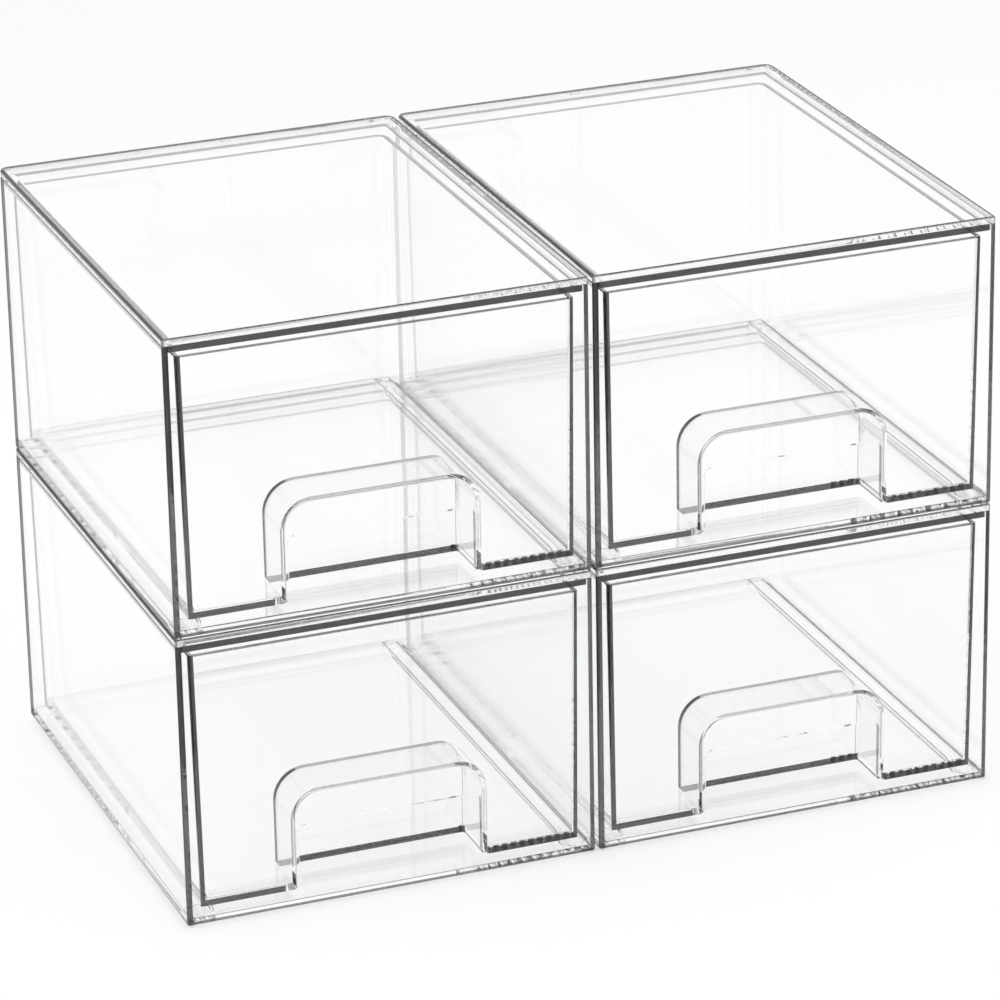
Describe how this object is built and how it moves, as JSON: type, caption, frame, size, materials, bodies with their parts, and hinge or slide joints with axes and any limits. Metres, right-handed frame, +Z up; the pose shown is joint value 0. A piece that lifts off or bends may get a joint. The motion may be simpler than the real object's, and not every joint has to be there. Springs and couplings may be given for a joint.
{
  "type": "stackable drawer organizer",
  "caption": "Clear stackable drawer units, each an open-fronted case with a fixed cover and a sliding drawer with a recessed finger pull.",
  "frame": {"origin": "middle of the footprint of the whole stack, in the plane that the pads stand on", "axes": "+X to the right as seen from the drawer fronts, +Y from the fronts to the back, +Z up"},
  "size_m": [0.3156, 0.202, 0.224],
  "materials": {
    "case_clear": "clear polished styrene or acrylic, faint cool tint at the edges",
    "cover_clear": "clear polished styrene or acrylic, faint cool tint at the edges",
    "drawer_clear": "clear polished styrene or acrylic, faint cool tint at the edges",
    "pad": "soft translucent, satin"
  },
  "bodies": {
    "lower_left_unit": {"lower_left_case": "case_clear", "lower_left_cover": "cover_clear", "lower_left_pad_front_left": "pad", "lower_left_pad_front_right": "pad", "lower_left_pad_back_left": "pad", "lower_left_pad_back_right": "pad"},
    "lower_left_drawer": {"lower_left_drawer": "drawer_clear"},
    "lower_right_unit": {"lower_right_case": "case_clear", "lower_right_cover": "cover_clear", "lower_right_pad_front_left": "pad", "lower_right_pad_front_right": "pad", "lower_right_pad_back_left": "pad", "lower_right_pad_back_right": "pad"},
    "lower_right_drawer": {"lower_right_drawer": "drawer_clear"},
    "upper_left_unit": {"upper_left_case": "case_clear", "upper_left_cover": "cover_clear", "upper_left_pad_front_left": "pad", "upper_left_pad_front_right": "pad", "upper_left_pad_back_left": "pad", "upper_left_pad_back_right": "pad"},
    "upper_left_drawer": {"upper_left_drawer": "drawer_clear"},
    "upper_right_unit": {"upper_right_case": "case_clear", "upper_right_cover": "cover_clear", "upper_right_pad_front_left": "pad", "upper_right_pad_front_right": "pad", "upper_right_pad_back_left": "pad", "upper_right_pad_back_right": "pad"},
    "upper_right_drawer": {"upper_right_drawer": "drawer_clear"}
  },
  "joints": [
    {"name": "lower_left_drawer_slide", "type": "slide", "parent": "lower_left_unit", "child": "lower_left_drawer", "axis": [0, -1, 0], "range_m": [0, 0.17]},
    {"name": "lower_right_drawer_slide", "type": "slide", "parent": "lower_right_unit", "child": "lower_right_drawer", "axis": [0, -1, 0], "range_m": [0, 0.17]},
    {"name": "upper_left_drawer_slide", "type": "slide", "parent": "upper_left_unit", "child": "upper_left_drawer", "axis": [0, -1, 0], "range_m": [0, 0.17]},
    {"name": "upper_right_drawer_slide", "type": "slide", "parent": "upper_right_unit", "child": "upper_right_drawer", "axis": [0, -1, 0], "range_m": [0, 0.17]},
    {"name": "upper_left_lift_off", "type": "slide", "parent": "lower_left_unit", "child": "upper_left_unit", "axis": [0, 0, 1], "range_m": [0, 0.15]},
    {"name": "upper_right_lift_off", "type": "slide", "parent": "lower_right_unit", "child": "upper_right_unit", "axis": [0, 0, 1], "range_m": [0, 0.15]},
    {"name": "right_stack_shift", "type": "slide", "parent": "lower_left_unit", "child": "lower_right_unit", "axis": [1, 0, 0], "range_m": [0, 0.06]}
  ]
}
